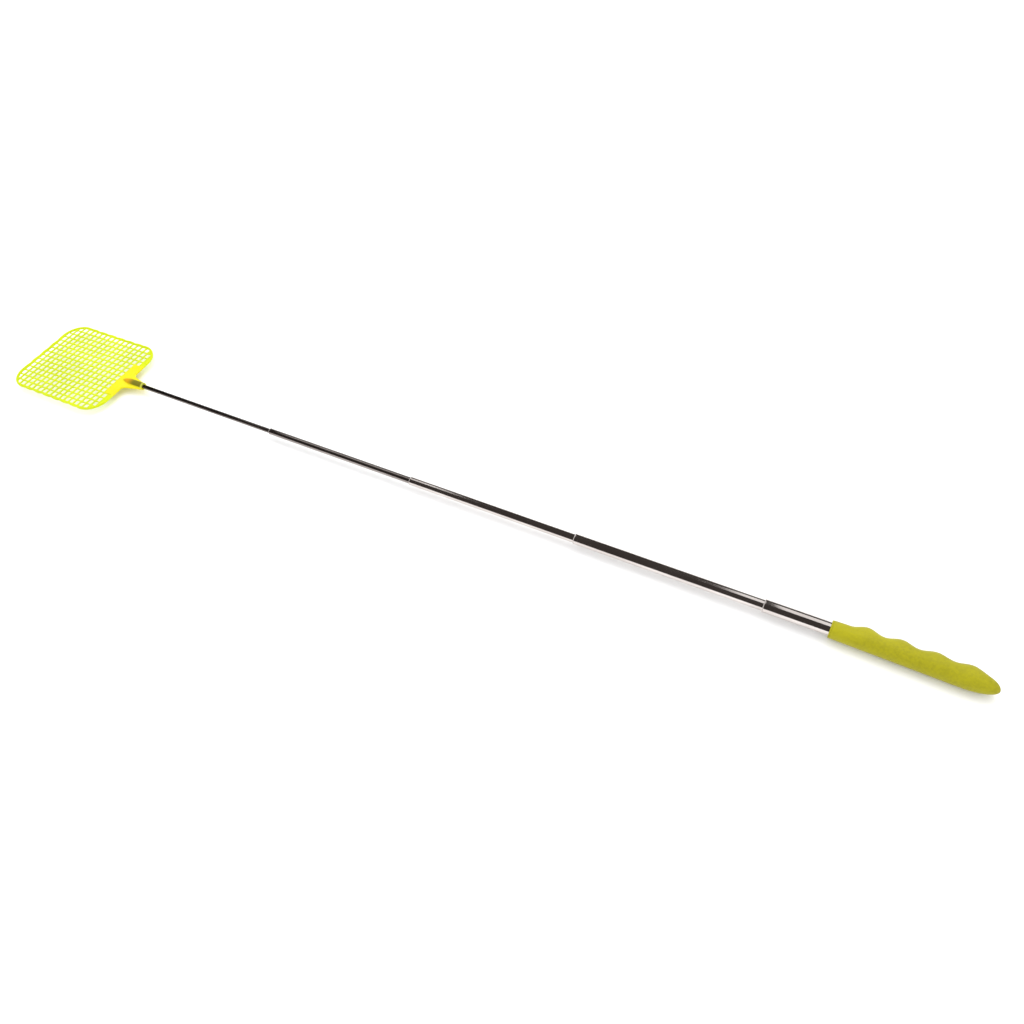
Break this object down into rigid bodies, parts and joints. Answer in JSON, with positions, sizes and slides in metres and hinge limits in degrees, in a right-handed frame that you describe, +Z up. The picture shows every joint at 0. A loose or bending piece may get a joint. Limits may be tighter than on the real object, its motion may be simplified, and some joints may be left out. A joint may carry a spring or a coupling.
{
  "type": "telescopic fly swatter",
  "caption": "Manual fly swatter: an open moulded mesh head on a rod of sliding steel tubes with a soft finger grip.",
  "frame": {"origin": "middle of the bounding box in X and Y, at the height of the surface that the grip rests on", "axes": "+X along the rod from the head to the grip, +Y across the head, +Z up, square to the striking face"},
  "size_m": [0.9018, 0.0952, 0.0152],
  "materials": {
    "mesh_plastic": "fluorescent yellow-green, slightly translucent",
    "rod_steel": "polished",
    "tube_steel": "polished",
    "grip_soft": "matte moulded",
    "plug_plastic": "matte",
    "ring_plastic": "matte",
    "shim_brass": "satin"
  },
  "bodies": {
    "handle": {"grip": "grip_soft", "outer_tube": "tube_steel", "base_plug": "plug_plastic"},
    "tube_4_carrier": {"tube_4_guide_ring": "ring_plastic"},
    "tube_4_section": {"tube_4": "tube_steel", "tube_4_upper_shim": "shim_brass", "tube_4_lower_shim": "shim_brass"},
    "tube_3_carrier": {"tube_3_guide_ring": "ring_plastic"},
    "tube_3_section": {"tube_3": "tube_steel", "tube_3_upper_shim": "shim_brass", "tube_3_lower_shim": "shim_brass"},
    "tube_2_carrier": {"tube_2_guide_ring": "ring_plastic"},
    "tube_2_section": {"tube_2": "tube_steel", "tube_2_upper_shim": "shim_brass", "tube_2_lower_shim": "shim_brass"},
    "tip_rod_carrier": {"tip_rod_guide_ring": "ring_plastic"},
    "tip_rod_section": {"tip_rod": "rod_steel", "tip_rod_upper_shim": "shim_brass", "tip_rod_lower_shim": "shim_brass", "swatter_head": "mesh_plastic"}
  },
  "joints": [
    {"name": "tube_4_slide", "type": "slide", "parent": "handle", "child": "tube_4_carrier", "axis": [1, 0, 0], "range_m": [0, 0.131]},
    {"name": "tube_4_swivel", "type": "hinge", "parent": "tube_4_carrier", "child": "tube_4_section", "pos_m": [0.29516, 0, 0.0076], "axis": [1, 0, 0], "continuous": true},
    {"name": "tube_3_slide", "type": "slide", "parent": "tube_4_section", "child": "tube_3_carrier", "axis": [1, 0, 0], "range_m": [0, 0.147]},
    {"name": "tube_3_swivel", "type": "hinge", "parent": "tube_3_carrier", "child": "tube_3_section", "pos_m": [0.14716, 0, 0.0076], "axis": [1, 0, 0], "continuous": true},
    {"name": "tube_2_slide", "type": "slide", "parent": "tube_3_section", "child": "tube_2_carrier", "axis": [1, 0, 0], "range_m": [0, 0.149]},
    {"name": "tube_2_swivel", "type": "hinge", "parent": "tube_2_carrier", "child": "tube_2_section", "pos_m": [-0.00384, 0, 0.0076], "axis": [1, 0, 0], "continuous": true},
    {"name": "tip_rod_slide", "type": "slide", "parent": "tube_2_section", "child": "tip_rod_carrier", "axis": [1, 0, 0], "range_m": [0, 0.149]},
    {"name": "tip_rod_swivel", "type": "hinge", "parent": "tip_rod_carrier", "child": "tip_rod_section", "pos_m": [-0.15384, 0, 0.0076], "axis": [1, 0, 0], "continuous": true}
  ]
}
